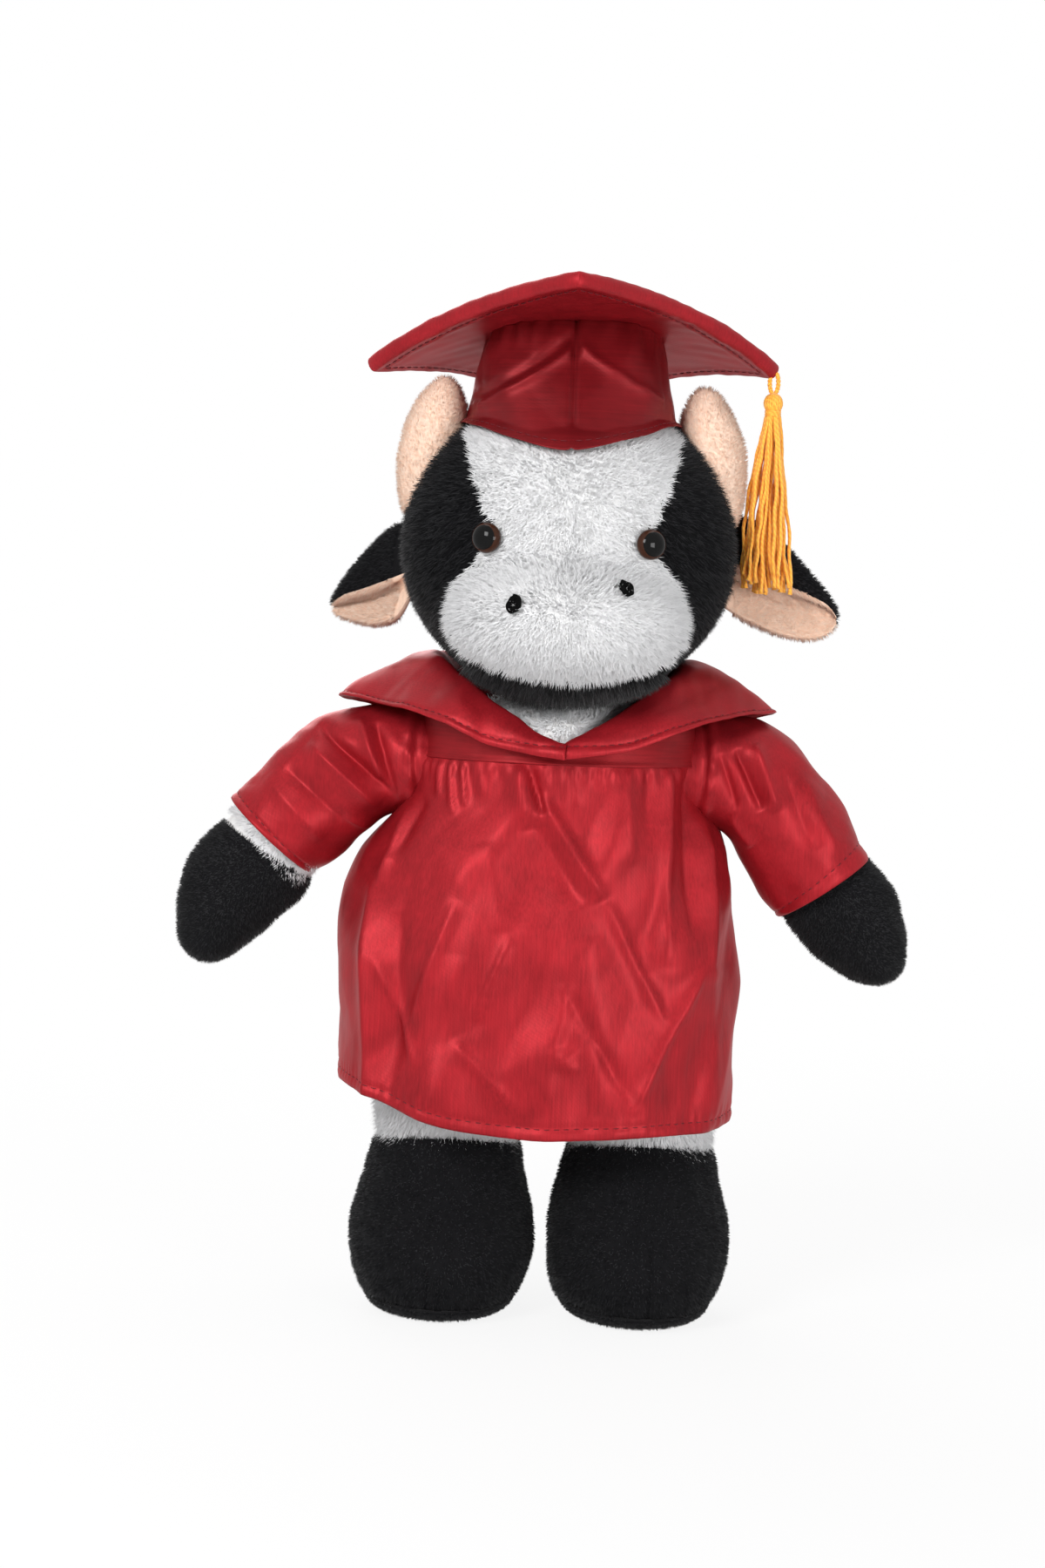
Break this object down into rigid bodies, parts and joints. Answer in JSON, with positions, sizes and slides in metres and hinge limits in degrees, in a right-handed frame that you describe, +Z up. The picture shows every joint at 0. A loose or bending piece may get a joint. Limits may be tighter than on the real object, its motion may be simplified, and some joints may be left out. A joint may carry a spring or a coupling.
{
  "type": "plush cow in graduation gown",
  "caption": "Standing plush cow toy in a red satin graduation gown and mortarboard cap with a hanging tassel.",
  "frame": {"origin": "middle of the toy's bounding box at the level of its soles", "axes": "+Z up, -Y the way the face looks, +X the toy's own left side"},
  "size_m": [0.2426, 0.1481, 0.3365],
  "materials": {
    "white_plush": "long soft pile",
    "black_plush": "short curly pile",
    "black_minky": "very short pile",
    "peach_plush": "very short pile",
    "red_satin": "satin",
    "stiff_board": "stiff insert",
    "gloss_black": "gloss",
    "washer_plastic": "matte",
    "gold_cord": "twisted cord",
    "fibre_fill": "loose fibre"
  },
  "bodies": {
    "torso_body": {"torso_skin": "white_plush", "torso_stuffing": "fibre_fill", "gown_yoke": "red_satin", "gown_skirt": "red_satin", "gown_collar_left": "red_satin", "gown_collar_right": "red_satin"},
    "head_body": {"head_hood": "black_plush", "head_face": "white_plush", "head_stuffing": "fibre_fill", "eye_left": "gloss_black", "eye_right": "gloss_black", "eye_washer_left": "washer_plastic", "eye_washer_right": "washer_plastic", "nostril_left": "gloss_black", "nostril_right": "gloss_black", "horn_left": "peach_plush", "horn_right": "peach_plush"},
    "ear_left_body": {"ear_left": "black_minky", "ear_lining_left": "peach_plush"},
    "ear_right_body": {"ear_right": "black_minky", "ear_lining_right": "peach_plush"},
    "cap_body": {"cap_crown": "red_satin", "cap_board_top": "red_satin", "cap_board_underside": "red_satin", "cap_board_insert": "stiff_board", "tassel_loop": "gold_cord"},
    "tassel_knot_body": {"tassel_knot": "gold_cord"},
    "tassel_strands_body": {"tassel_strands": "gold_cord"},
    "arm_left_body": {"arm_left": "white_plush", "arm_stuffing_left": "fibre_fill", "hoof_left": "black_minky", "gown_sleeve_left": "red_satin"},
    "arm_right_body": {"arm_right": "white_plush", "arm_stuffing_right": "fibre_fill", "hoof_right": "black_minky", "gown_sleeve_right": "red_satin"},
    "leg_left_body": {"leg_left": "white_plush", "leg_stuffing_left": "fibre_fill", "boot_left": "black_minky", "sole_left": "black_minky"},
    "leg_right_body": {"leg_right": "white_plush", "leg_stuffing_right": "fibre_fill", "boot_right": "black_minky", "sole_right": "black_minky"}
  },
  "joints": [
    {"name": "head_turn", "type": "hinge", "parent": "torso_body", "child": "head_body", "pos_m": [0.004, -0.0031, 0.204], "axis": [0, 0, 1], "range_deg": [-15, 15], "stiffness_Nm_per_rad": 0.3},
    {"name": "ear_left_flap", "type": "hinge", "parent": "head_body", "child": "ear_left_body", "pos_m": [0.05727, 0.0169, 0.2507], "axis": [0, 0, 1], "range_deg": [-6, 30], "stiffness_Nm_per_rad": 0.01},
    {"name": "ear_right_flap", "type": "hinge", "parent": "head_body", "child": "ear_right_body", "pos_m": [-0.04927, 0.0169, 0.2507], "axis": [0, 0, 1], "range_deg": [-12, 40], "stiffness_Nm_per_rad": 0.01},
    {"name": "cap_lift", "type": "slide", "parent": "head_body", "child": "cap_body", "axis": [0, 0.1702, 0.9854], "range_m": [0, 0.07]},
    {"name": "tassel_fore_aft", "type": "hinge", "parent": "cap_body", "child": "tassel_knot_body", "pos_m": [0.0707, 0.00253, 0.30386], "axis": [1, 0, 0], "range_deg": [-40, 2]},
    {"name": "tassel_sideways", "type": "hinge", "parent": "tassel_knot_body", "child": "tassel_strands_body", "pos_m": [0.0707, 0.00253, 0.29836], "axis": [0, 1, 0], "range_deg": [-55, 1]},
    {"name": "arm_left_swing", "type": "hinge", "parent": "torso_body", "child": "arm_left_body", "pos_m": [0.052, -0.0031, 0.178], "axis": [1, 0, 0], "range_deg": [-60, 40], "stiffness_Nm_per_rad": 0.05},
    {"name": "arm_right_swing", "type": "hinge", "parent": "torso_body", "child": "arm_right_body", "pos_m": [-0.044, -0.0031, 0.178], "axis": [1, 0, 0], "range_deg": [-60, 40], "stiffness_Nm_per_rad": 0.05},
    {"name": "leg_left_swing", "type": "hinge", "parent": "torso_body", "child": "leg_left_body", "pos_m": [0.036, -0.0031, 0.086], "axis": [1, 0, 0], "range_deg": [-14, 14], "stiffness_Nm_per_rad": 1.5},
    {"name": "leg_right_swing", "type": "hinge", "parent": "torso_body", "child": "leg_right_body", "pos_m": [-0.028, -0.0031, 0.086], "axis": [1, 0, 0], "range_deg": [-14, 14], "stiffness_Nm_per_rad": 1.5}
  ]
}
